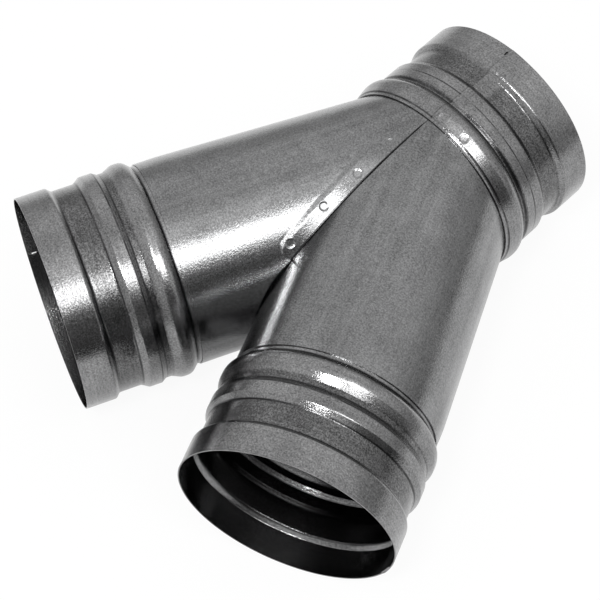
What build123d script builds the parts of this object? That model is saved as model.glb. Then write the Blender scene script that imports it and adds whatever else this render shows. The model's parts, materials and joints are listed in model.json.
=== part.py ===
from build123d import *
import os
from math import cos, degrees, radians, sin

# A symmetric sheet-metal wye for 100 mm hose: two legs of equal bore leave one inlet.
# +Z is up, +Y runs out through the inlet, and the fitting is the same on both sides of X = 0.
# It lies flat, as it comes to rest, on the highest beads of its three collars.

# ---- Driving dimensions, millimetres and degrees ----
sheet = 0.55                # gauge of the steel sheet
branch_angle = 47.0         # between the axes of the two legs
leg_reach = 193.0           # from the point where the axes meet to a leg's rim
inlet_reach = 46.6          # from that point to the inlet's rim
barrel_radius = 48.5        # outside of a leg where it takes its collar
barrel_land = 11.0          # straight end of a leg, before its taper

# Leg collars, from the rim inwards
lip_step = 2.3              # of the lip, above the leg
lip_length = 14.4
lip_shoulder = 2.2
groove_depth = 2.2
groove_length = 10.8
groove_rise = 3.4
shelf_height = 2.2
shelf_length = 5.8
shelf_fall = 2.4
valley_depth = 1.5
valley_length = 2.8
bead_rise = 4.6
bead_height = 2.1
bead_length = 4.6
bead_fall = 3.6
neck_land = 2.0             # of the neck, left bare beside the bead
neck_lap = 9.0              # of the neck, pushed inside the leg
neck_clearance = 0.1

# Inlet collar, from the rim inwards
inlet_lip_step = 1.7        # of the lip, above the leg
inlet_lip_length = 14.6
inlet_lip_shoulder = 2.4
inlet_groove_depth = 2.2
inlet_groove_length = 9.7
inlet_groove_rise = 2.8
inlet_shelf_height = 2.0
inlet_shelf_length = 10.1
inlet_shelf_fall = 1.8
inlet_valley_depth = 0.7
inlet_bead_rise = 4.0
inlet_bead_height = 2.9
inlet_bead_length = 2.6
skirt_length = 5.0          # of the skirt's slope, between its bead and its hem
skirt_depth = 1.1
hem_fall = 1.2
hem_depth = 0.7
hem_length = 0.8            # of the hem, which closes on the legs
skirt_clearance = 0.15
spigot_length = 6.0         # of the legs, inside the skirt
spigot_stand = 0.3          # of the spigot, bare below the skirt

# Rounding of the rolled beads
bend_radius = 1.6
crest_radius = 5.0
crease = 0                  # a fold rolled sharp, as beside the beads

# Lap of the left leg over the right leg's flange, seen in plan
mitre_gap = 0.1
lap_clearance = 0.05
lap_start = 0.6             # from the skirt's edge
lap_foot = 87.9             # from the skirt's edge to the lap's outer corner
lap_toe = 89.9              # from the skirt's edge to the lap's point
lap_width = 11.4            # across the lap, beside the skirt
lap_foot_width = 7.6
lap_toe_width = 3.9
lap_border = 1.1            # sheet folded down round the flange
flange_clearance = 0.2
flange_root = 0.3           # of the flange, folded into its own leg

# Spot welds
weld_radius = 2.2
weld_depth = 0.25
lap_weld_count = 4
lap_weld_start = 20.5       # from the skirt's edge to the first weld
lap_weld_pitch = 21.3
lap_weld_inset = 3.7        # from the mitre
skirt_weld_inset = 4.2      # from the skirt's edge
skirt_weld_angles = (5.8, 20.5, 159.5, 174.2, 262.0, 277.0)

# Open stretch of the mitre below the lap
mitre_opening_start = 88.4  # from the skirt's edge
mitre_opening_length = 21.0
mitre_opening_width = 1.3

# Lap seam of each rolled collar: the under layer stands inside the ring
seam_width = 9.0
seam_spigot_clearance = 1.0
inlet_seam_angle = 0.5      # from the top, towards the right leg
leg_seam_angle = 118.0      # from the top, towards the outside of the wye
seam_slit_start = 2.3       # from the rim
seam_slit_length = 2.6
seam_slit_width = 0.8

# ---- Worked out from the dimensions above ----
LEFT, RIGHT = -1, 1
half_angle = branch_angle / 2
lip_radius = barrel_radius + lip_step
groove_radius = lip_radius - groove_depth
shelf_radius = groove_radius + shelf_height
valley_radius = shelf_radius - valley_depth
bead_radius = valley_radius + bead_height
neck_radius = barrel_radius - sheet - neck_clearance
inlet_lip_radius = barrel_radius + inlet_lip_step
inlet_groove_radius = inlet_lip_radius - inlet_groove_depth
inlet_shelf_radius = inlet_groove_radius + inlet_shelf_height
inlet_valley_radius = inlet_shelf_radius - inlet_valley_depth
inlet_bead_radius = inlet_valley_radius + inlet_bead_height
skirt_radius = inlet_bead_radius - skirt_depth
hem_radius = skirt_radius - hem_depth
mouth_radius = hem_radius - sheet - skirt_clearance
inlet_collar_length = (
    inlet_lip_length + inlet_lip_shoulder + inlet_groove_length + inlet_groove_rise
    + inlet_shelf_length + inlet_shelf_fall + inlet_bead_rise + inlet_bead_length
    + skirt_length + hem_fall + hem_length
)
leg_collar_length = (
    lip_length + lip_shoulder + groove_length + groove_rise + shelf_length + shelf_fall
    + valley_length + bead_rise + bead_length + bead_fall + neck_land
)
lap_rise = sheet + lap_clearance
rest_height = max(bead_radius, inlet_bead_radius)
leg_end_y = leg_reach * cos(radians(half_angle)) + lip_radius * sin(radians(half_angle))
centre_y = (leg_end_y - inlet_reach) / 2
meeting_point = Vector(0, centre_y, rest_height)
skirt_edge_y = centre_y + inlet_reach - inlet_collar_length
mouth_y = skirt_edge_y - spigot_stand
far = 2 * leg_reach         # longer than the fitting, for cuts that go right through


def leg_direction(side):
    """Unit vector from the meeting point out along a leg."""
    return Vector(side * sin(radians(half_angle)), -cos(radians(half_angle)), 0)


def leg_ring(side, distance):
    """Plane square to a leg's axis, its x towards the outside of the wye."""
    outward = (side * cos(radians(half_angle)), sin(radians(half_angle)), 0)
    direction = leg_direction(side)
    return Plane(origin=meeting_point + direction * distance, x_dir=outward, z_dir=direction)


def mouth_ring(side, y):
    """Plane square to the inlet's axis at a given Y, with its x towards one leg's side."""
    return Plane(origin=(0, y, rest_height), x_dir=(side, 0, 0), z_dir=(0, -1, 0))


def leg_form(side, grow):
    """Filled form of a leg: straight end, ruled taper and spigot, grown outwards by grow."""
    barrel_end = leg_reach - leg_collar_length
    with BuildPart() as form:
        with BuildSketch(leg_ring(side, barrel_end)):
            Circle(barrel_radius + grow)
        with BuildSketch(leg_ring(side, barrel_end - barrel_land)):
            Circle(barrel_radius + grow)
        with BuildSketch(mouth_ring(side, mouth_y)):
            Circle(mouth_radius + grow)
        with BuildSketch(mouth_ring(side, skirt_edge_y + spigot_length)):
            Circle(mouth_radius + grow)
        loft(ruled=True)
    return form.part


def lap_prism(inset):
    """Upright prism over the lap's outline in plan, drawn in by inset."""
    with BuildPart() as prism:
        with BuildSketch(Plane.XY):
            with BuildLine():
                Polyline(
                    (lap_width, skirt_edge_y - lap_start),
                    (-lap_width, skirt_edge_y - lap_start),
                    (-lap_foot_width, skirt_edge_y - lap_foot),
                    (-lap_toe_width, skirt_edge_y - lap_toe),
                    (0, skirt_edge_y - lap_foot),
                    (lap_width, skirt_edge_y - lap_foot),
                    close=True,
                )
            make_face()
            if inset > 0:
                offset(amount=-inset, kind=Kind.INTERSECTION, mode=Mode.REPLACE)
        extrude(amount=far)
    return prism.part


def rolled_wall(points, radii, layers=1):
    """Section of a rolled collar's wall: the run of its outside, one or two sheets thick."""
    with BuildLine() as wall:
        run = FilletPolyline(*points, radius=radii)
        offset(run, amount=layers * sheet, side=Side.RIGHT, kind=Kind.INTERSECTION)
    make_face(wall.edges())


def running_points(steps, start_radius):
    """Points of a wall's run, from steps of (length, radius at the step's end)."""
    points = [(0, start_radius)]
    reach = 0
    for length, radius in steps:
        reach += length
        points.append((reach, radius))
    return points


leg_collar_points = running_points(
    (
        (lip_length, lip_radius),
        (lip_shoulder, groove_radius),
        (groove_length, groove_radius),
        (groove_rise, shelf_radius),
        (shelf_length, shelf_radius),
        (shelf_fall, valley_radius),
        (valley_length, valley_radius),
        (bead_rise, bead_radius),
        (bead_length, bead_radius),
        (bead_fall, neck_radius),
        (neck_land + neck_lap, neck_radius),
    ),
    lip_radius,
)
leg_collar_bends = (
    bend_radius, bend_radius, bend_radius, bend_radius, crease,
    crease, crease, crest_radius, crest_radius, crease,
)
inlet_collar_points = running_points(
    (
        (inlet_lip_length, inlet_lip_radius),
        (inlet_lip_shoulder, inlet_groove_radius),
        (inlet_groove_length, inlet_groove_radius),
        (inlet_groove_rise, inlet_shelf_radius),
        (inlet_shelf_length, inlet_shelf_radius),
        (inlet_shelf_fall, inlet_valley_radius),
        (inlet_bead_rise, inlet_bead_radius),
        (inlet_bead_length, inlet_bead_radius),
        (skirt_length, skirt_radius),
        (hem_fall, hem_radius),
        (hem_length, hem_radius),
    ),
    inlet_lip_radius,
)
inlet_collar_bends = (
    bend_radius, bend_radius, bend_radius, bend_radius, crease,
    crease, crest_radius, crest_radius, crease, crease,
)


def collar_section(rim, outward, angle=0):
    """Plane through a collar's axis: x runs inwards from its rim, y is the radius.

    At angle 0 the radius points up, and it turns about the outward axis by angle."""
    radial = Vector(0, 0, 1).rotate(Axis((0, 0, 0), outward), angle)
    return Plane(origin=rim, x_dir=outward * -1, z_dir=radial.cross(outward))


def rolled_collar(rim, outward, points, radii, seam_angle, seam_length):
    """A collar: its rolled wall, the under layer of its lap seam and the slit at its edge."""
    axis = Axis(rim, outward)
    lip = points[0][1]
    seam_turn = degrees(seam_width / lip)
    slit_turn = degrees(seam_slit_width / lip)
    with BuildPart() as collar:
        with BuildSketch(collar_section(rim, outward)):
            rolled_wall(points, radii)
        revolve(axis=axis, revolution_arc=360)
        with BuildSketch(collar_section(rim, outward, seam_angle)):
            rolled_wall(points, radii, layers=2)
            with Locations((seam_length / 2, lip)):
                Rectangle(seam_length, lip, mode=Mode.INTERSECT)
        revolve(axis=axis, revolution_arc=seam_turn)
        with BuildSketch(collar_section(rim, outward, seam_angle - slit_turn)):
            with Locations((seam_slit_start + seam_slit_length / 2, lip)):
                Rectangle(seam_slit_length, 4 * sheet)
        revolve(axis=axis, revolution_arc=slit_turn, mode=Mode.SUBTRACT)
    return collar.part


def weld_balls(places):
    """Balls that leave a spot weld's shallow dent at each place, a (point, outward normal)."""
    ball_radius = (weld_radius**2 + weld_depth**2) / (2 * weld_depth)
    centres = [point + normal * (ball_radius - weld_depth) for point, normal in places]
    with BuildPart() as balls:
        with Locations(*centres):
            Sphere(ball_radius)
    return balls.part


def lap_weld_places():
    """Where the lap's spot welds lie on its outer face, above and below."""
    lap_face = leg_form(LEFT, lap_rise)
    places = []
    for weld in range(lap_weld_count):
        y = skirt_edge_y - lap_weld_start - weld * lap_weld_pitch
        upright = Axis((-lap_weld_inset, y, 0), (0, 0, 1))
        hits = lap_face.find_intersection_points(upright)
        hits.sort(key=lambda hit: hit[0].Z)
        places.append(hits[0])
        places.append(hits[-1])
    return places


def skirt_weld_places():
    """Where the skirt's spot welds lie, at their angles round the inlet's axis."""
    slope = skirt_depth / skirt_length
    radius = skirt_radius + slope * (skirt_weld_inset - hem_fall - hem_length)
    y = skirt_edge_y + skirt_weld_inset
    places = []
    for angle in skirt_weld_angles:
        outward = Vector(sin(radians(angle)), 0, cos(radians(angle)))
        point = Vector(0, y, rest_height) + outward * radius
        places.append((point, (outward - Vector(0, slope, 0)).normalized()))
    return places


# ---- Leg collars: one rolled ring for each leg, its neck inside the leg's end ----
collars = {}
for side, name in ((LEFT, "left_collar"), (RIGHT, "right_collar")):
    direction = leg_direction(side)
    rim = meeting_point + direction * leg_reach
    collars[name] = rolled_collar(
        rim,
        direction,
        leg_collar_points,
        leg_collar_bends,
        -side * leg_seam_angle,
        leg_collar_length + neck_lap,
    )
    collars[name].label = name

# ---- Inlet collar: its skirt goes over the mouths of both legs ----
with BuildPart() as inlet_collar:
    add(
        rolled_collar(
            meeting_point + Vector(0, inlet_reach, 0),
            Vector(0, 1, 0),
            inlet_collar_points,
            inlet_collar_bends,
            inlet_seam_angle,
            inlet_collar_length - spigot_length - seam_spigot_clearance,
        )
    )
    add(weld_balls(skirt_weld_places()), mode=Mode.SUBTRACT)
inlet_collar.part.label = "inlet_collar"

# ---- Left leg: mitred at X = 0, its edge raised into a lap over the right leg's flange ----
with BuildPart() as left_lap:
    add(leg_form(LEFT, lap_rise))
    add(lap_prism(0), mode=Mode.INTERSECT)

with BuildPart() as flange_room:
    add(leg_form(LEFT, lap_clearance))
    add(lap_prism(lap_border), mode=Mode.INTERSECT)

with BuildPart() as left_leg:
    add(leg_form(LEFT, 0))
    add(left_lap.part)
    add(leg_form(LEFT, -sheet), mode=Mode.SUBTRACT)
    add(flange_room.part, mode=Mode.SUBTRACT)
    split(bisect_by=Plane.YZ.offset(-mitre_gap), keep=Keep.BOTTOM)
    with BuildSketch(Plane.XY):
        with BuildLine():
            opening_start = (0, skirt_edge_y - mitre_opening_start)
            opening_end = (0, skirt_edge_y - mitre_opening_start - mitre_opening_length)
            opening_middle = (
                -mitre_gap - mitre_opening_width,
                skirt_edge_y - mitre_opening_start - mitre_opening_length / 2,
            )
            ThreePointArc(opening_start, opening_middle, opening_end)
            Line(opening_end, opening_start)
        make_face()
    extrude(amount=far, mode=Mode.SUBTRACT)
    add(weld_balls(lap_weld_places()), mode=Mode.SUBTRACT)
left_leg.part.label = "left_leg"

# ---- Right leg: mitred at X = 0, with a flange that runs on under the lap ----
with BuildPart() as flange:
    add(leg_form(LEFT, 0))
    add(leg_form(LEFT, -sheet), mode=Mode.SUBTRACT)
    add(lap_prism(lap_border + flange_clearance), mode=Mode.INTERSECT)
    split(bisect_by=Plane.YZ.offset(flange_root), keep=Keep.BOTTOM)

with BuildPart() as right_leg:
    add(leg_form(RIGHT, 0))
    add(leg_form(RIGHT, -sheet), mode=Mode.SUBTRACT)
    split(bisect_by=Plane.YZ, keep=Keep.TOP)
    add(flange.part)
right_leg.part.label = "right_leg"

os.makedirs("parts", exist_ok=True)
export_step(left_leg.part, "parts/left_leg.step")
export_step(right_leg.part, "parts/right_leg.step")
export_step(inlet_collar.part, "parts/inlet_collar.step")
for name, part in collars.items():
    export_step(part, f"parts/{name}.step")
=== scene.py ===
import json
import math

import bmesh
import bpy
from mathutils import Matrix, Vector


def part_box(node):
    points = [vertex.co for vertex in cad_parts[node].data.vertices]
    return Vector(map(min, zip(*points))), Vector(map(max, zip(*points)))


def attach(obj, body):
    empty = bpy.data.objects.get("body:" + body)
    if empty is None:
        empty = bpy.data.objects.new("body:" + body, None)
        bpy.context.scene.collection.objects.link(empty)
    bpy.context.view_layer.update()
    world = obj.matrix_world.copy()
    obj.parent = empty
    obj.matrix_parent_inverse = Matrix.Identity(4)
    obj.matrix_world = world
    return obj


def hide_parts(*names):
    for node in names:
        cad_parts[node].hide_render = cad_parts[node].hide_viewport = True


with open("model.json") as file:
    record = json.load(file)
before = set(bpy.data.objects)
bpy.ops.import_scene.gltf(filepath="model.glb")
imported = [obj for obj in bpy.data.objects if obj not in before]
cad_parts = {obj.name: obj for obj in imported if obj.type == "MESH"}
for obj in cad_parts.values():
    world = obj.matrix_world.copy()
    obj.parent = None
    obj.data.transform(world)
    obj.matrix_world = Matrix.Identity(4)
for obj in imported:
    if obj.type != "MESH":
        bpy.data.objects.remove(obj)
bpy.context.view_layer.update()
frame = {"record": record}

bl_info = {
    "name": "Sheet Metal Wye",
    "version": (1, 0, 0),
    "blender": (4, 5, 0),
    "location": "View3D > Sidebar > Wye",
    "description": "Dresses a rolled and spot-welded sheet-metal wye in galvanised steel",
    "category": "Add Mesh",
}

MM = 0.001
LEFT, RIGHT = -1, 1
MOUNTS = {mount["name"]: mount for mount in frame["record"]["mounts"]}


# ---------------------------------------------------------------- sizes and colours


def length(name, description, millimetres):
    """A length property, given in millimetres and kept in metres."""
    return bpy.props.FloatProperty(
        name=name, description=description, default=millimetres * MM, unit="LENGTH", precision=5
    )


def factor(name, description, default):
    """A plain number from 0 to 1."""
    return bpy.props.FloatProperty(
        name=name, description=description, default=default, min=0, max=1, subtype="FACTOR"
    )


def colour(name, description, default):
    return bpy.props.FloatVectorProperty(
        name=name, description=description, default=default, subtype="COLOR", min=0, max=1
    )


class WyeSheet(bpy.types.PropertyGroup):
    """Sizes of the legs' sheet, its lap and its welds."""

    gauge: length("Gauge", "Thickness of the sheet", 0.55)
    barrel_radius: length("Leg radius", "Outside of a leg where it takes its collar", 48.5)
    barrel_land: length("Straight end", "Straight end of a leg before its taper", 11.0)
    mouth_radius: length("Mouth radius", "Outside of the legs' mouths in the skirt", 49.7)
    spigot: length("Spigot", "Length of the legs inside the skirt", 6.0)
    mitre_gap: length("Mitre gap", "Gap between the two mitred edges", 0.1)
    lap_rise: length("Lap rise", "Height of the lap above the leg", 0.6)
    lap_fold: length("Lap fold", "Width of the soft fold beside the lap", 3.0)
    lap_flat: length("Lap flatness", "How far the lap's middle is pressed flat", 0.25)
    flange_inset: length("Flange inset", "From the lap's outline to the flange under it", 1.3)
    weld_radius: length("Weld radius", "Radius of a spot weld's dent", 2.2)
    weld_depth: length("Weld depth", "Depth of a spot weld's dent", 0.24)
    weld_dish: length("Weld dish", "Depth of the wide hollow round a weld", 0.06)
    weld_pitch: length("Weld pitch", "Distance between the lap's welds", 21.3)
    weld_start: length("First weld", "From the skirt's edge to the lap's first weld", 20.5)
    weld_inset: length("Weld inset", "From the mitre to the lap's welds", 3.7)
    weld_count: bpy.props.IntProperty(
        name="Welds", description="Spot welds in a row along the lap", default=4, min=1
    )
    opening_start: length("Opening start", "From the skirt's edge to the open mitre", 88.4)
    opening_length: length("Opening length", "Length of the open mitre", 21.0)
    opening_width: length("Opening width", "Widest gap of the open mitre", 0.8)


class WyeCollars(bpy.types.PropertyGroup):
    """Sizes of the rolled collars' seams, slits and welds."""

    bend: length("Bend", "Rounding of a collar's bends", 1.6)
    crease: length("Crease", "Rounding of a fold that is rolled sharp", 0.5)
    crest: length("Crest", "Rounding of the beads", 5.0)
    seam_width: length("Seam width", "Width of a collar's lap seam", 9.0)
    seam_step: length("Seam step", "Height of the over layer's edge at the seam", 0.25)
    slit_start: length("Slit start", "From the rim to the slit at the seam", 2.3)
    slit_length: length("Slit length", "Length of the slit at the seam", 2.6)
    tack_radius: length("Tack radius", "Radius of the seam's small welds", 1.3)
    tack_depth: length("Tack depth", "Depth of the seam's small welds", 0.22)
    skirt_weld_inset: length("Skirt weld inset", "From the skirt's edge to its welds", 4.2)


class WyeFinish(bpy.types.PropertyGroup):
    """Colours and roughness of the steel, and the colour of its painted shade."""

    leg_colour: colour("Leg steel", "Colour of the legs' sheet", (0.212, 0.213, 0.215))
    collar_colour: colour("Collar steel", "Colour of the collars", (0.225, 0.225, 0.227))
    # Painted shade: near-black laid along the rolled creases, the collars' seam edges and the
    # legs' mitre, where shade falls.
    crease_shade_colour: colour("Grime", "Dirt in the rolled lines", (0.030, 0.030, 0.031))
    leg_roughness: factor("Leg roughness", "Mean roughness of the legs", 0.12)
    collar_roughness: factor("Collar roughness", "Mean roughness of the collars", 0.14)
    leg_grain: factor("Leg grain", "Strength of the legs' fine grain", 0.72)
    collar_grain: factor("Collar grain", "Strength of the collars' fine grain", 0.78)


# ---------------------------------------------------------------- layout from the frame


def mount_axis(name):
    return Vector(MOUNTS[name]["axis"]).normalized()


def meeting_point():
    """Where the three axes meet: the left axis followed back to X = 0."""
    start = Vector(MOUNTS["left_lip"]["pos_m"])
    axis = mount_axis("left_lip")
    return start - axis * (start.x / axis.x)


def reach_to(node, radius):
    """How far down a leg's axis a ring lies whose lowest Y is the node's."""
    axis = mount_axis("left_lip")
    depth = meeting_point().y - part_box(node)[0].y
    return (depth - radius * abs(axis.x)) / abs(axis.y)


CENTRE = meeting_point()
LEG_LIP = MOUNTS["left_lip"]["dims"]["r_mm"] * MM
INLET_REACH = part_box("inlet_collar")[1].y - CENTRE.y
SKIRT_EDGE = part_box("inlet_collar")[0].y
LEG_REACH = reach_to("left_collar", LEG_LIP)
LEG_TURN = math.atan2(abs(mount_axis("left_lip").x), abs(mount_axis("left_lip").y))
UP = Vector((0, 0, 1))


def leg_axis(side):
    return Vector((side * math.sin(LEG_TURN), -math.cos(LEG_TURN), 0))


def ring_frame(centre, direction, outward):
    """Matrix with z along a ring's axis and x towards the outside of the wye."""
    across = direction.cross(outward)
    turned = Matrix((outward, across, direction)).transposed().to_4x4()
    return Matrix.Translation(centre) @ turned


def leg_ring(side, distance):
    axis = leg_axis(side)
    outward = Vector((side * math.cos(LEG_TURN), math.sin(LEG_TURN), 0))
    return ring_frame(CENTRE + axis * distance, axis, outward)


def mouth_ring(side, y):
    return ring_frame(Vector((0, y, CENTRE.z)), Vector((0, -1, 0)), Vector((side, 0, 0)))


# ---------------------------------------------------------------- mesh helpers

AROUND = 576             # divisions round a leg
RULING_ROWS = 60         # rows along a leg's taper
COLLAR_TURNS = 360       # divisions round a collar
ARC_POINTS = 7           # points on each bend of a collar's section
SPIGOT_STAND = 0.3 * MM  # of a leg's spigot, bare below the skirt
SPLIT_DEGREES = 35       # edges sharper than this are shaded as edges
WELD_REACH = 2.6         # how far a weld moves the skin, in radii of its dent


def smooth_step(value):
    value = min(max(value, 0.0), 1.0)
    return value * value * (3 - 2 * value)


def parts_of(geometry, kind):
    return [item for item in geometry if isinstance(item, kind)]


def geometry_of(faces):
    edges = {edge for face in faces for edge in face.edges}
    verts = {vert for edge in edges for vert in edge.verts}
    return list(verts) + list(edges) + list(faces)


def cut_plane(bm, point, normal, faces, clear=False):
    """Cuts faces along a plane, and clears what lies on the side its normal points to."""
    bmesh.ops.bisect_plane(
        bm, geom=geometry_of(faces), dist=1e-7, plane_co=point, plane_no=normal,
        clear_outer=clear,
    )


def turn_outwards(bm, faces, origin, axis):
    """Turns a wall's faces, all wound alike, away from the axis that they go round."""
    face = next(iter(faces))
    arm = face.calc_center_median() - origin
    arm -= axis * arm.dot(axis)
    face.normal_update()
    if face.normal.dot(arm) < 0:
        bmesh.ops.reverse_faces(bm, faces=list(faces))


def pull_ring(bm, edges, old, new, scale, rows):
    """Extrudes a ring of edges to its next plane and splits the new wall into rows."""
    made = bmesh.ops.extrude_edge_only(bm, edges=edges)["geom"]
    verts = set(parts_of(made, bmesh.types.BMVert))
    move = new @ Matrix.Scale(scale, 4) @ old.inverted()
    bmesh.ops.transform(bm, matrix=move, verts=list(verts))
    ring = [edge for edge in parts_of(made, bmesh.types.BMEdge) if set(edge.verts) <= verts]
    walls = {edge for face in parts_of(made, bmesh.types.BMFace) for edge in face.edges}
    long_edges = [edge for edge in walls if len(set(edge.verts) & verts) == 1]
    bmesh.ops.subdivide_edges(bm, edges=long_edges, cuts=rows - 1, use_grid_fill=True)
    return ring


def leg_wall(sheet, side):
    """The outside of a whole leg as one skin: straight end, ruled taper and spigot."""
    barrel_end = reach_to("left_leg", sheet.barrel_radius)
    stations = (
        (leg_ring(side, barrel_end - sheet.barrel_land), sheet.barrel_radius, 4),
        (mouth_ring(side, SKIRT_EDGE - SPIGOT_STAND), sheet.mouth_radius, RULING_ROWS),
        (mouth_ring(side, SKIRT_EDGE + sheet.spigot), sheet.mouth_radius, 2),
    )
    bm = bmesh.new()
    place = leg_ring(side, barrel_end)
    radius = sheet.barrel_radius
    bmesh.ops.create_circle(bm, cap_ends=False, segments=AROUND, radius=radius, matrix=place)
    ring = bm.edges[:]
    for new_place, new_radius, rows in stations:
        ring = pull_ring(bm, ring, place, new_place, new_radius / radius, rows)
        place, radius = new_place, new_radius
    bmesh.ops.recalc_face_normals(bm, faces=bm.faces)
    turn_outwards(bm, bm.faces, CENTRE, leg_axis(side))
    return bm


def piece(name, bm, materials, node, wall):
    """Makes a finished object, a sheet as thick as wall, that stands for a CAD node."""
    mesh = bpy.data.meshes.new(name)
    bmesh.ops.triangulate(bm, faces=[face for face in bm.faces if len(face.verts) > 4])
    bm.to_mesh(mesh)
    bm.free()
    mesh.shade_smooth()
    for material in materials:
        mesh.materials.append(material)
    made = bpy.data.objects.new(name, mesh)
    bpy.context.scene.collection.objects.link(made)
    thick = made.modifiers.new("sheet", "SOLIDIFY")
    thick.thickness = wall
    thick.offset = -1
    edge = made.modifiers.new("edges", "EDGE_SPLIT")
    edge.split_angle = math.radians(SPLIT_DEGREES)
    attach(made, "root")
    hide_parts(node)
    return made


def press_weld(bm, centre, radius, depth, dish):
    """Dents the skin with an electrode's round tip: a flat bowl, its low rim, a wide hollow."""
    reach = WELD_REACH * radius
    near = [face for face in bm.faces if (face.calc_center_median() - centre).length < reach]
    edges = list({edge for face in near for edge in face.edges})
    bmesh.ops.subdivide_edges(bm, edges=edges, cuts=1, use_grid_fill=True)
    bm.normal_update()
    moves = []
    for vert in bm.verts:
        share = (vert.co - centre).length / radius
        if share < WELD_REACH:
            bowl = -depth * (1 - share**6) if share < 1 else 0.0
            rim = 0.20 * depth * math.exp(-(((share - 1.12) / 0.16) ** 2))
            hollow = -dish * math.exp(-((share / 1.2) ** 2))
            moves.append((vert, vert.normal * (bowl + rim + hollow)))
    for vert, move in moves:
        vert.co += move


# ---------------------------------------------------------------- the lap and its welds

# Corners of the lap in plan: millimetres left of the mitre and from the skirt's edge
LAP_CORNERS = ((11.4, 0.6), (7.6, 87.9), (3.9, 89.9), (0.0, 87.9))
LAP_HEAD = SKIRT_EDGE - LAP_CORNERS[0][1] * MM
LAP_FOOT = SKIRT_EDGE - LAP_CORNERS[2][1] * MM
LAP_SIDE_MARGIN = 15 * MM   # how far left of the mitre the skin is made finer
LAP_FOOT_MARGIN = 8 * MM    # how far beyond the foot it is made finer
LAP_CUT_WIDTH = 3 * MM      # faces this near to a line of the lap's foot are cut along it
LAP_FOOT_EDGE = 0.5 * MM    # width of the step down at the lap's foot
RULING_COSINE = 0.7         # an edge this much along the leg is one of its rulings
WELD_SEARCH = 3 * MM        # a weld's middle is a vertex this near to its place in plan


def lap_lines(inset):
    """Lines that bound the lap in plan, as (point, outward normal), drawn in by inset."""
    corners = [Vector((-x * MM, SKIRT_EDGE - y * MM, 0)) for x, y in LAP_CORNERS]
    lines = []
    for start, end in zip(corners, corners[1:]):
        along = (end - start).normalized()
        outward = Vector((along.y, -along.x, 0))
        lines.append((start - outward * inset, outward))
    return lines


def by_lap(point):
    """Whether a point of the left leg lies on the lap or close beside it."""
    return point.x > -LAP_SIDE_MARGIN and LAP_FOOT - LAP_FOOT_MARGIN < point.y < SKIRT_EDGE


def raise_lap(bm, sheet):
    """Presses the sheet up over the flange, flat between a soft fold and the mitre."""

    def near(face):
        return by_lap(face.calc_center_median())

    fade = 2 * sheet.lap_fold
    axis = leg_axis(LEFT)
    rulings = set()
    for face in filter(near, bm.faces):
        for edge in face.edges:
            along = (edge.verts[0].co - edge.verts[1].co).normalized()
            if abs(along.dot(axis)) > RULING_COSINE:
                rulings.add(edge)
    bmesh.ops.subdivide_edges(bm, edges=list(rulings), cuts=3, use_grid_fill=True)
    for point, outward in lap_lines(0.0)[1:]:
        close = [
            face for face in filter(near, bm.faces)
            if abs((face.calc_center_median() - point).dot(outward)) < LAP_CUT_WIDTH
        ]
        cut_plane(bm, point, outward, close)
    bm.normal_update()
    side_line, side_normal = lap_lines(0.0)[0]
    for vert in bm.verts:
        if not by_lap(vert.co):
            continue
        inside = (side_line - vert.co).dot(side_normal)
        ends = min((line - vert.co).dot(outward) for line, outward in lap_lines(0.0)[1:])
        width = inside - vert.co.x
        if inside <= 0 or ends <= 0:
            continue
        across = inside / width
        rise = sheet.lap_rise * smooth_step(inside / sheet.lap_fold)
        rise -= sheet.lap_flat * 4 * across * (1 - across)
        rise *= smooth_step(ends / LAP_FOOT_EDGE)
        rise *= smooth_step((LAP_HEAD - vert.co.y) / fade)
        vert.co += vert.normal * rise


def lap_weld_centres(bm, sheet):
    """Points of the lap's skin where its welds lie, above and below."""
    centres = []
    for row in range(sheet.weld_count):
        y = SKIRT_EDGE - sheet.weld_start - row * sheet.weld_pitch
        target = Vector((-sheet.weld_inset, y))
        for half in (-1, 1):
            near = [
                vert for vert in bm.verts
                if (vert.co.xy - target).length < WELD_SEARCH and (vert.co.z - CENTRE.z) * half > 0
            ]
            centres.append(min(near, key=lambda vert: (vert.co.xy - target).length).co.copy())
    return centres


OPENING_PIECES = 12         # straight cuts that make the arc of the open mitre
OPENING_SIDE = 3 * MM       # how far left of the mitre the cuts reach
OPENING_MARGIN = 1 * MM     # how far they reach past the opening's ends


def open_mitre(bm, sheet):
    """Trims the mitred edge back along an arc where the legs stand apart below the lap."""
    pieces = OPENING_PIECES
    start = SKIRT_EDGE - sheet.opening_start
    stop = start - sheet.opening_length

    def width_at(share):
        return sheet.mitre_gap + sheet.opening_width * math.sin(math.pi * share) ** 0.8

    def point_at(share):
        return Vector((-width_at(share), start + share * (stop - start), 0))

    def near():
        return [
            face for face in bm.faces
            if face.calc_center_median().x > -OPENING_SIDE
            and stop - OPENING_MARGIN < face.calc_center_median().y < start + OPENING_MARGIN
        ]

    for number in range(pieces):
        upper, lower = point_at(number / pieces), point_at((number + 1) / pieces)
        along = lower - upper
        cut_plane(bm, upper, Vector((-along.y, along.x, 0)), near())
        cut_plane(bm, upper, Vector((0, 1, 0)), near())
    gone = []
    for face in near():
        middle = face.calc_center_median()
        share = (start - middle.y) / (start - stop)
        step = min(max(int(share * pieces), 0), pieces - 1)
        upper, lower = point_at(step / pieces), point_at((step + 1) / pieces)
        blend = share * pieces - step
        if 0 < share < 1 and middle.x > upper.x + blend * (lower.x - upper.x):
            gone.append(face)
    bmesh.ops.delete(bm, geom=gone, context="FACES")


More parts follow.
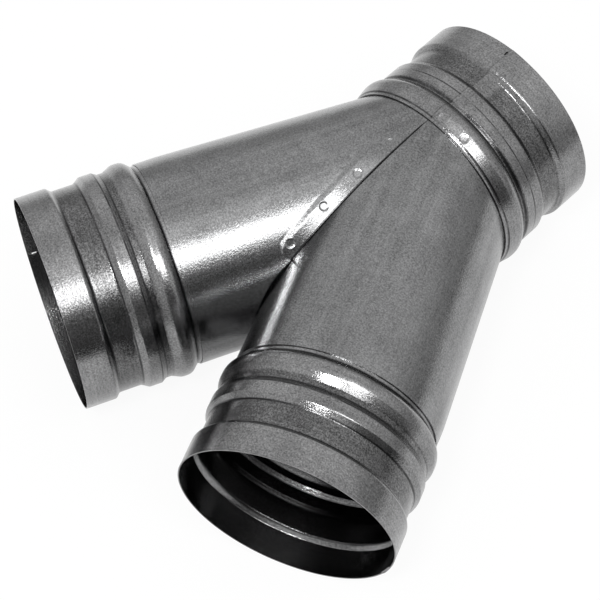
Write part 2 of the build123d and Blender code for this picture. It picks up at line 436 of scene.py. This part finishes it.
def add_flange(bm, sheet):
    """Adds the right leg's flange, a strip of the left leg's form under the lap."""
    strip = leg_wall(sheet, LEFT)
    cut_plane(strip, Vector((0, 0, 0)), Vector((1, 0, 0)), strip.faces, clear=True)
    for point, outward in lap_lines(sheet.flange_inset):
        cut_plane(strip, point, outward, strip.faces, clear=True)
    top = Vector((0, SKIRT_EDGE - 1 * MM, 0))
    cut_plane(strip, top, Vector((0, 1, 0)), strip.faces, clear=True)
    mesh = bpy.data.meshes.new("flange")
    strip.to_mesh(mesh)
    strip.free()
    bm.from_mesh(mesh)
    bpy.data.meshes.remove(mesh)


# ---------------------------------------------------------------- rolled collars

BEND, CREASE, CREST = "bend", "crease", "crest"

# Steps of a collar's outside from its rim inwards: (length, radius at its end, rounding there)
LEG_COLLAR = (
    (14.4, 50.8, BEND), (2.2, 48.6, BEND), (10.8, 48.6, BEND), (3.4, 50.8, BEND),
    (5.8, 50.8, CREASE), (2.4, 49.3, CREASE), (2.8, 49.3, CREASE), (4.6, 51.4, CREST),
    (4.6, 51.4, CREST), (3.6, 47.85, CREASE), (11.0, 47.85, None),
)
INLET_COLLAR = (
    (14.6, 50.2, BEND), (2.4, 48.0, BEND), (9.7, 48.0, BEND), (2.8, 50.0, BEND),
    (10.1, 50.0, CREASE), (1.8, 49.3, CREASE), (4.0, 52.2, CREST), (2.6, 52.2, CREST),
    (5.0, 51.1, CREASE), (1.2, 50.4, CREASE), (0.8, 50.4, None),
)

# Degrees off the top: the seams run towards +X on the inlet and towards the wye's outside
# on the legs; the skirt's welds lie in pairs near the top, the bottom and the left side
INLET_SEAM, LEG_SEAM = 0.5, 118.0
SKIRT_WELDS = (5.8, 20.5, 159.5, 174.2, 262.0, 277.0)

# Small welds of a seam: (degrees past its edge, distance from the rim)
TACKS = ((3.5, 2.5), (6.0, 14.0), (4.5, 27.0))

# Painted shade on a collar, in millimetres from the rim: (distance, width) of each crease
# darkened with painted shade, then (start, stop) of each band, over the groove and the valley,
# darkened with painted shade
LEG_PAINTED_SHADE = (
    ((36.6, 0.7), (39.0, 0.7), (54.6, 0.9), (16.2, 0.8), (27.8, 0.6)),
    ((15.4, 28.6), (36.8, 43.0)),
)
INLET_PAINTED_SHADE = (
    ((34.6, 0.5), (40.4, 1.0), (28.0, 0.8), (53.4, 0.6)),
    ((16.0, 28.6), (38.6, 42.6)),
)

SEAM_STOP = 14 * MM     # of a collar's inner end, without the seam's step
UNDER_STOP = 7 * MM     # of a collar's inner end, without the under layer
UNDER_GAUGE = 0.97      # how deep the under layer lies, as a share of the gauge
UNDER_TURNS = 12        # divisions across the under layer
SHADOW_LENGTH = 8 * MM  # from the rim: where the under layer behind the slit takes the painted shadow
RUN_PITCH = 1.2 * MM    # longest stretch between points of a collar's run
RING_SEARCH = 1.5 * MM  # a weld's middle is a vertex this near to its ring


def round_corner(before, corner, after, radius):
    """Points of the arc that rounds a corner."""
    towards = (before - corner).normalized()
    away = (after - corner).normalized()
    half_turn = (math.pi - towards.angle(away)) / 2
    tangent = radius * math.tan(half_turn)
    middle = corner + (towards + away).normalized() * (radius / math.cos(half_turn))
    start = corner + towards * tangent - middle
    sweep = start.angle_signed(corner + away * tangent - middle)
    turns = [-sweep * number / (ARC_POINTS - 1) for number in range(ARC_POINTS)]
    return [middle + Matrix.Rotation(turn, 2) @ start for turn in turns]


def collar_run(steps, sizes):
    """A collar's rounded run in metres: Vectors of (distance inwards, radius)."""
    radii = {BEND: sizes.bend, CREASE: sizes.crease, CREST: sizes.crest}
    corners = [Vector((0, steps[0][1])) * MM]
    for step, radius, _ in steps:
        corners.append(Vector((corners[-1].x + step * MM, radius * MM)))
    run = [corners[0]]
    for number, (_, _, rounding) in enumerate(steps[:-1]):
        run += round_corner(*corners[number:number + 3], radii[rounding])
    run.append(corners[-1])
    split = [run[0]]
    for start, end in zip(run, run[1:]):
        count = max(1, math.ceil((end - start).length / RUN_PITCH))
        split += [start.lerp(end, number / count) for number in range(1, count + 1)]
    return split


def spin_run(bm, run, rim, outward, start, sweep, steps):
    """Spins a run about a collar's axis, from start off the top, and returns its faces."""
    radial = Matrix.Rotation(start, 3, outward) @ UP
    verts = [bm.verts.new(rim - outward * point.x + radial * point.y) for point in run]
    edges = [bm.edges.new(pair) for pair in zip(verts, verts[1:])]
    known = set(bm.faces)
    bmesh.ops.spin(
        bm, geom=verts + edges, cent=rim, axis=outward, angle=sweep, steps=steps,
        use_merge=abs(sweep - 2 * math.pi) < 1e-6,
    )
    faces = [face for face in bm.faces if face not in known]
    bmesh.ops.recalc_face_normals(bm, faces=faces)
    turn_outwards(bm, faces, rim, outward)
    return faces


def collar_polar(point, rim, outward):
    """(distance in from the rim, angle off the top about the outward axis) of a point."""
    arm = point - rim
    return -arm.dot(outward), math.atan2(arm.dot(outward.cross(UP)), arm.dot(UP))


def on_collar(bm, rim, outward, inward, turn):
    """The point of a collar's skin at a distance in from its rim and an angle off the top."""
    radial = Matrix.Rotation(turn, 3, outward) @ UP
    near = [
        vert for vert in bm.verts
        if abs((rim - vert.co).dot(outward) - inward) < RING_SEARCH
        and (vert.co - rim).dot(radial) > 0
    ]
    line = rim - outward * inward
    best = min(near, key=lambda vert: (vert.co - line).cross(radial).length)
    return best.co.copy()


def rolled_collar(steps, sizes, sheet, rim, outward, seam, backing):
    """A collar's skin: its wall, the seam's step, under layer and slit, and small welds.

    Backing is how many columns of faces the under layer reaches back past the seam's edge:
    none leaves the slit open."""
    bm = bmesh.new()
    run = collar_run(steps, sizes)
    wall = spin_run(bm, run, rim, outward, seam, 2 * math.pi, COLLAR_TURNS)
    sweep = sizes.seam_width / run[0].y
    column = 2 * math.pi / COLLAR_TURNS
    bm.normal_update()
    for vert in {vert for face in wall for vert in face.verts}:
        inward, turn = collar_polar(vert.co, rim, outward)
        share = ((turn - seam) % (2 * math.pi)) / sweep
        if share < 1 and inward < run[-1].x - SEAM_STOP:
            vert.co += vert.normal * sizes.seam_step * (1 - smooth_step(share))
    slit = []
    for face in wall:
        inward, turn = collar_polar(face.calc_center_median(), rim, outward)
        behind = (seam - turn) % (2 * math.pi)
        if sizes.slit_start < inward < sizes.slit_start + sizes.slit_length:
            if behind < column:
                slit.append(face)
    bmesh.ops.delete(bm, geom=slit, context="FACES")
    for degrees, inward in TACKS:
        centre = on_collar(bm, rim, outward, inward * MM, seam + math.radians(degrees))
        press_weld(bm, centre, sizes.tack_radius, sizes.tack_depth, 0.0)
    under = [Vector((point.x, point.y - UNDER_GAUGE * sheet.gauge)) for point in run]
    under = [point for point in under if point.x < run[-1].x - UNDER_STOP]
    start = seam - backing * column
    for face in spin_run(bm, under, rim, outward, start, sweep + seam - start, UNDER_TURNS):
        inward, turn = collar_polar(face.calc_center_median(), rim, outward)
        behind = (seam - turn) % (2 * math.pi)
        # Faces just behind the slit get the second material, a painted shadow.
        face.material_index = 1 if inward < SHADOW_LENGTH and behind < 1 else 0
    return bm


# ---------------------------------------------------------------- shader helpers


class Wire:
    """A shader socket with arithmetic: each operator adds one Math node."""

    def __init__(self, tree, socket):
        self.tree = tree
        self.socket = socket

    def plug(self, socket):
        self.tree.links.new(self.socket, socket)

    def node(self, kind, settings=None, output=0, **inputs):
        """Any other node, from its settings and its sockets' values or links."""
        made = self.tree.nodes.new(kind)
        for name, value in (settings or {}).items():
            setattr(made, name, value)
        for name, value in inputs.items():
            key = int(name[1:]) if name[1:].isdigit() else name.replace("_", " ")
            if isinstance(value, Wire):
                value.plug(made.inputs[key])
            else:
                made.inputs[key].default_value = value
        return Wire(self.tree, made.outputs[output])

    def math(self, operation, first, second):
        return self.node("ShaderNodeMath", {"operation": operation}, i0=first, i1=second)

    def __add__(self, other):
        return self.math("ADD", self, other)

    def __radd__(self, other):
        return self.math("ADD", other, self)

    def __sub__(self, other):
        return self.math("SUBTRACT", self, other)

    def __rsub__(self, other):
        return self.math("SUBTRACT", other, self)

    def __mul__(self, other):
        return self.math("MULTIPLY", self, other)

    def __rmul__(self, other):
        return self.math("MULTIPLY", other, self)

    def ramp(self, low, high, to_low=0.0, to_high=1.0):
        """The value taken smoothly from one range to another and held inside it."""
        return self.node(
            "ShaderNodeMapRange", {"interpolation_type": "SMOOTHSTEP"},
            Value=self, From_Min=low, From_Max=high, To_Min=to_low, To_Max=to_high,
        )

    def noise(self, scale, detail=2.0, roughness=0.5):
        """Noise from 0 to 1, with this wire as its coordinates."""
        return self.node(
            "ShaderNodeTexNoise", Vector=self, Scale=scale, Detail=detail, Roughness=roughness
        )

    def facing(self, target):
        """Cosine of the angle between this direction and a fixed one."""
        return self.node(
            "ShaderNodeVectorMath", {"operation": "DOT_PRODUCT"}, 1, i0=self, i1=target
        )

    def stretched(self, scale):
        return self.node("ShaderNodeMapping", Vector=self, Scale=scale)

    def mixed(self, first, second):
        """A colour between two, with this wire as its share of the second."""
        return self.node(
            "ShaderNodeMix", {"data_type": "RGBA"}, 2, i0=self, i6=first, i7=second
        )


def new_material(name):
    """An empty node material: (material, a Wire on its object coordinates, its surface)."""
    material = bpy.data.materials.new(name)
    material.use_nodes = True
    tree = material.node_tree
    tree.nodes.clear()
    coordinates = tree.nodes.new("ShaderNodeTexCoord")
    surface = tree.nodes.new("ShaderNodeBsdfPrincipled")
    output = tree.nodes.new("ShaderNodeOutputMaterial")
    tree.links.new(surface.outputs["BSDF"], output.inputs["Surface"])
    return material, Wire(tree, coordinates.outputs["Object"]), surface


def tinted(rgb, scale):
    return tuple(channel * scale for channel in rgb) + (1.0,)


CLOUD_SCALE, PATCH_SCALE, GRAIN_SCALE = 26.0, 110.0, 1300.0
LEG_STRETCH = (260.0, 9.0, 260.0)       # streaks along a leg
COLLAR_STRETCH = (20.0, 900.0, 20.0)    # streaks round a collar
SHADE_BAND_EDGE = 0.8                         # soft edge of a band of painted shade, millimetres
MITRE_SHADE = (0.1 * MM, 0.45 * MM)      # from full to no painted shade, off the mitre
BUMP_STRENGTH, BUMP_HEIGHT = 0.35, 0.4 * MM


def steel(name, rgb, roughness, speckle, shade_colour, turn, stretch, lines=None):
    """Galvanised sheet: cloudy zinc, fine grain and soft streaks along one direction.

    Speckle is the grain's strength. The coordinates are turned about the meeting point so
    that Y runs along the axis. Lines is (reach, sense, seam angle, creases, shaded_bands) of a
    rolled collar: its creases are darkened with painted shade, each at a distance from the rim
    and as wide as given, as is its seam's edge, and its shaded_bands over the groove and the
    valley are darkened with painted shade but for the lapped part. Without lines, a leg is
    darkened with painted shade along its mitre."""
    material, place, surface = new_material(name)
    centred = place.node(
        "ShaderNodeMapping", {"vector_type": "TEXTURE"},
        Vector=place, Location=CENTRE, Rotation=(0, 0, turn),
    )
    clouds = centred.noise(CLOUD_SCALE, 3.0, 0.55) - 0.5
    patches = centred.noise(PATCH_SCALE, 2.0, 0.6) - 0.5
    streaks = centred.stretched(stretch).noise(1.0, 3.0, 0.6) - 0.5
    grain = (centred.noise(GRAIN_SCALE, 2.0, 0.75) - 0.5) * 2.0
    tone = clouds * 0.45 + patches * 0.30 + streaks * 0.40 + grain * speckle
    painted_shade = 0.0
    if lines:
        reach, sense, seam, creases, shaded_bands = lines
        across, along, up = (
            centred.node("ShaderNodeSeparateXYZ", output=part, Vector=centred) for part in range(3)
        )
        inward = reach - along * sense
        past = up.math("ARCTAN2", across * sense, up) - seam
        lapped = past.ramp(0.0, 0.02) * past.ramp(0.17, 0.22, 1.0, 0.0)
        # Each crease gets a line of painted shade.
        for distance, width in creases:
            gap = (inward - distance * MM).math("ABSOLUTE", inward - distance * MM, 0.0)
            painted_shade = gap.ramp(0.15 * width * MM, width * MM, 1.0, 0.0) + painted_shade
        # Each band over the groove and the valley is darkened with painted shade, less on the
        # lapped part.
        for start, stop in shaded_bands:
            band_shade = inward.ramp(start * MM, (start + SHADE_BAND_EDGE) * MM)
            band_shade = band_shade * inward.ramp((stop - SHADE_BAND_EDGE) * MM, stop * MM, 1.0, 0.0)
            tone = tone - band_shade * (clouds * 1.4 + 0.95) * (1.0 - lapped * 0.9) * 0.30
        painted_shade = painted_shade * (1.0 - lapped * 0.6)
        # The seam's edge gets painted shade where the over layer steps down.
        painted_shade = past.math("ABSOLUTE", past, 0.0).ramp(0.003, 0.011, 0.4, 0.0) + painted_shade
    else:
        # A leg gets painted shade along its mitre, broken up by the patches.
        across = place.node("ShaderNodeSeparateXYZ", output=0, Vector=place)
        gap = across.math("ABSOLUTE", across, 0.0) * (patches * 1.6 + 1.0)
        painted_shade = gap.ramp(*MITRE_SHADE, 1.0, 0.0) + painted_shade
    base = (tone + 0.5).mixed(tinted(rgb, 0.25), tinted(rgb, 1.75))
    painted_shade = painted_shade * (patches * 1.2 + clouds + 0.75).ramp(0.0, 1.0)
    # The shade colour goes in wherever the painted shade lies.
    base = painted_shade.mixed(base, tinted(shade_colour, 1.0))
    base.plug(surface.inputs["Base Color"])
    rough = clouds * 0.08 + grain * 0.10 + streaks * 0.06 + roughness
    rough.plug(surface.inputs["Roughness"])
    surface.inputs["Metallic"].default_value = 1.0
    height = grain * speckle * 0.36 + streaks * 0.10 + centred.noise(45.0, 1.0, 0.4) * 0.5
    bump = centred.node(
        "ShaderNodeBump", Strength=BUMP_STRENGTH, Distance=BUMP_HEIGHT, Height=height
    )
    bump.plug(surface.inputs["Normal"])
    return material


# ---------------------------------------------------------------- operators

# Painted shadow: a near-black matte for the under layer seen through a seam's slit.
SHADOW_COLOUR = (0.004, 0.004, 0.004)
SHADOW_ROUGHNESS = 0.8


class WYE_OT_legs(bpy.types.Operator):
    """Makes both mitred legs, with the lap, its flange and its welds"""

    bl_idname = "wye.legs"
    bl_label = "Legs"

    def execute(self, context):
        sheet = context.scene.wye_sheet
        finish = context.scene.wye_finish
        for side, node in ((LEFT, "left_leg"), (RIGHT, "right_leg")):
            bm = leg_wall(sheet, side)
            edge = Vector((-sheet.mitre_gap if side == LEFT else 0.0, 0, 0))
            cut_plane(bm, edge, Vector((-side, 0, 0)), bm.faces, clear=True)
            if side == LEFT:
                raise_lap(bm, sheet)
                for centre in lap_weld_centres(bm, sheet):
                    press_weld(bm, centre, sheet.weld_radius, sheet.weld_depth, sheet.weld_dish)
                open_mitre(bm, sheet)
            else:
                add_flange(bm, sheet)
            material = steel(
                node + "_zinc", finish.leg_colour, finish.leg_roughness, finish.leg_grain,
                finish.crease_shade_colour, side * LEG_TURN, LEG_STRETCH,
            )
            piece(node + "_sheet", bm, [material], node, sheet.gauge)
        return {"FINISHED"}


class WYE_OT_collars(bpy.types.Operator):
    """Spins the three rolled collars, with their seams, slits and welds"""

    bl_idname = "wye.collars"
    bl_label = "Collars"

    def execute(self, context):
        sheet = context.scene.wye_sheet
        sizes = context.scene.wye_collars
        finish = context.scene.wye_finish
        left, right, inlet = leg_axis(LEFT), leg_axis(RIGHT), Vector((0, 1, 0))
        jobs = (
            ("left_collar", LEG_COLLAR, left, LEG_REACH, -LEG_TURN, LEG_SEAM, LEG_PAINTED_SHADE),
            ("right_collar", LEG_COLLAR, right, LEG_REACH, LEG_TURN, -LEG_SEAM, LEG_PAINTED_SHADE),
            ("inlet_collar", INLET_COLLAR, inlet, INLET_REACH, 0.0, INLET_SEAM, INLET_PAINTED_SHADE),
        )
        shadow, _, surface = new_material("slit_shadow")
        surface.inputs["Base Color"].default_value = (*SHADOW_COLOUR, 1.0)
        surface.inputs["Roughness"].default_value = SHADOW_ROUGHNESS
        for node, steps, outward, reach, turn, seam_degrees, shade_marks in jobs:
            rim = CENTRE + outward * reach
            seam = math.radians(seam_degrees)
            backing = 2 if outward == inlet else 0
            bm = rolled_collar(steps, sizes, sheet, rim, outward, seam, backing)
            if node == "inlet_collar":
                inset = rim.y - SKIRT_EDGE - sizes.skirt_weld_inset
                for degrees in SKIRT_WELDS:
                    centre = on_collar(bm, rim, outward, inset, math.radians(degrees))
                    press_weld(bm, centre, sheet.weld_radius, sheet.weld_depth, sheet.weld_dish)
            material = steel(
                node + "_zinc", finish.collar_colour, finish.collar_roughness,
                finish.collar_grain, finish.crease_shade_colour, turn, COLLAR_STRETCH,
                (reach, 1 if outward == inlet else -1, seam, *shade_marks),
            )
            piece(node + "_ring", bm, [material, shadow], node, sheet.gauge)
        return {"FINISHED"}


class WYE_OT_stage(bpy.types.Operator):
    """Lays the pale floor and sets the lamps, the world and the camera"""

    bl_idname = "wye.stage"
    bl_label = "Stage"

    def execute(self, context):
        scene = context.scene
        make_floor()
        make_world(scene)
        for name, spot in LAMPS.items():
            make_lamp(name, *spot)
        make_camera(scene)
        scene.view_settings.view_transform = "Standard"
        return {"FINISHED"}


# ---------------------------------------------------------------- stage

# name: (azimuth off +Y towards +X, elevation, distance, width, height, radiance)
LAMPS = {
    "key_softbox": (102.0, 59.5, 1.6, 0.60, 0.56, 5.4),
    "camera_lamp": (157.0, 59.0, 1.6, 0.28, 0.26, 52.0),
}

FLOOR_RADIUS = 0.45
FLOOR_TONE = 0.72
FLOOR_ROUGHNESS = 0.9
FLOOR_TO_CAMERA = 0.93  # share of plain white that the camera sees in the floor
FLOOR_TO_STEEL = 0.40   # the same in the steel's reflections

# Aims of the studio's uneven parts, in degrees
DARK_PATCH = (108, 12)
SIDE_GLOW = (-60, 0)
TOP_GLOW = (95, 74)

CAMERA_LENS = 141.1
CAMERA_ARM = (422.5, -467.8, 914.9)     # millimetres from the meeting point
CAMERA_TURN = (31.436, 1.870, 45.338)   # degrees about X, Y and Z


def aim(azimuth, elevation):
    """Unit vector towards an azimuth off +Y towards +X and an elevation, in degrees."""
    a, e = math.radians(azimuth), math.radians(elevation)
    return Vector((math.sin(a) * math.cos(e), math.cos(a) * math.cos(e), math.sin(e)))


def make_floor():
    """A pale disc that holds soft shadows and looks nearly white to the camera."""
    bm = bmesh.new()
    bmesh.ops.create_circle(bm, cap_ends=True, segments=96, radius=FLOOR_RADIUS)
    mesh = bpy.data.meshes.new("floor")
    bm.to_mesh(mesh)
    bm.free()
    floor = bpy.data.objects.new("floor", mesh)
    bpy.context.scene.collection.objects.link(floor)
    material, place, surface = new_material("pale_floor")
    surface.inputs["Base Color"].default_value = (FLOOR_TONE, FLOOR_TONE, FLOOR_TONE, 1.0)
    surface.inputs["Roughness"].default_value = FLOOR_ROUGHNESS
    white = place.node("ShaderNodeEmission", Color=(1, 1, 1, 1), Strength=1.0)
    blend = place.tree.nodes.new("ShaderNodeMixShader")
    share = light_path(place, "Is Camera Ray") * FLOOR_TO_CAMERA
    for path in ("Is Glossy Ray", "Is Transmission Ray"):
        share = light_path(place, path) * FLOOR_TO_STEEL + share
    share.math("MINIMUM", share, FLOOR_TO_CAMERA).plug(blend.inputs[0])
    place.tree.links.new(surface.outputs[0], blend.inputs[1])
    white.plug(blend.inputs[2])
    output = next(node for node in place.tree.nodes if node.type == "OUTPUT_MATERIAL")
    place.tree.links.new(blend.outputs[0], output.inputs["Surface"])
    mesh.materials.append(material)


def light_path(wire, kind):
    """1 for rays of a kind and 0 for all others."""
    return Wire(wire.tree, wire.tree.nodes.new("ShaderNodeLightPath").outputs[kind])


def make_world(scene):
    """A soft studio: bright overhead and darker low down, with a dark patch low on the right,
    a glow low on the left and a glow overhead. To the camera itself it is plain white."""
    world = bpy.data.worlds.new("soft_studio")
    world.use_nodes = True
    tree = world.node_tree
    tree.nodes.clear()
    coordinates = tree.nodes.new("ShaderNodeTexCoord")
    direction = Wire(tree, coordinates.outputs["Generated"])
    height = direction.node("ShaderNodeSeparateXYZ", output=2, Vector=direction)
    level = height.ramp(-0.1, 0.75, 0.46, 0.95)
    level = level * (1.0 - direction.facing(aim(*DARK_PATCH)).ramp(0.78, 0.95, 0.0, 0.75))
    level = level + direction.facing(aim(*SIDE_GLOW)).ramp(0.5, 1.0, 0.0, 0.14)
    level = level + direction.facing(aim(*TOP_GLOW)).ramp(0.85, 1.0, 0.0, 0.6)
    camera = light_path(direction, "Is Camera Ray")
    strength = level * (1.0 - camera) + camera
    backdrop = direction.node("ShaderNodeBackground", Color=(1, 1, 1, 1), Strength=strength)
    output = tree.nodes.new("ShaderNodeOutputWorld")
    backdrop.plug(output.inputs["Surface"])
    scene.world = world


def make_lamp(name, azimuth, elevation, distance, width, height, radiance):
    """A rectangular soft lamp that faces the fitting."""
    back = aim(azimuth, elevation)
    data = bpy.data.lights.new(name, "AREA")
    data.shape = "RECTANGLE"
    data.size = width
    data.size_y = height
    data.energy = radiance * math.pi * width * height
    lamp = bpy.data.objects.new(name, data)
    lamp.location = CENTRE + back * distance
    lamp.rotation_mode = "QUATERNION"
    lamp.rotation_quaternion = back.to_track_quat("Z", "Y")
    bpy.context.scene.collection.objects.link(lamp)


def make_camera(scene):
    """Looks down on the fitting over its right leg, from about 1.1 m."""
    data = bpy.data.cameras.new("camera")
    data.lens = CAMERA_LENS
    camera = bpy.data.objects.new("camera", data)
    camera.location = CENTRE + Vector(CAMERA_ARM) * MM
    camera.rotation_euler = [math.radians(turn) for turn in CAMERA_TURN]
    scene.collection.objects.link(camera)
    scene.camera = camera


# ---------------------------------------------------------------- panel and registration


class WYE_PT_panel(bpy.types.Panel):
    """Lists the wye's sizes and operators in the sidebar"""

    bl_idname = "WYE_PT_panel"
    bl_label = "Sheet Metal Wye"
    bl_space_type = "VIEW_3D"
    bl_region_type = "UI"
    bl_category = "Wye"

    def draw(self, context):
        scene = context.scene
        for group in (scene.wye_sheet, scene.wye_collars, scene.wye_finish):
            column = self.layout.column()
            for name in group.__annotations__:
                column.prop(group, name)
        for operator in OPERATORS:
            self.layout.operator(operator.bl_idname)


GROUPS = {"wye_sheet": WyeSheet, "wye_collars": WyeCollars, "wye_finish": WyeFinish}
OPERATORS = (WYE_OT_legs, WYE_OT_collars, WYE_OT_stage)
CLASSES = (*GROUPS.values(), *OPERATORS, WYE_PT_panel)


def register():
    for cls in CLASSES:
        bpy.utils.register_class(cls)
    for name, group in GROUPS.items():
        setattr(bpy.types.Scene, name, bpy.props.PointerProperty(type=group))


def unregister():
    for name in GROUPS:
        delattr(bpy.types.Scene, name)
    for cls in reversed(CLASSES):
        bpy.utils.unregister_class(cls)


def main():
    register()
    bpy.ops.wye.legs()
    bpy.ops.wye.collars()
    bpy.ops.wye.stage()


if __name__ == "__main__":
    main()
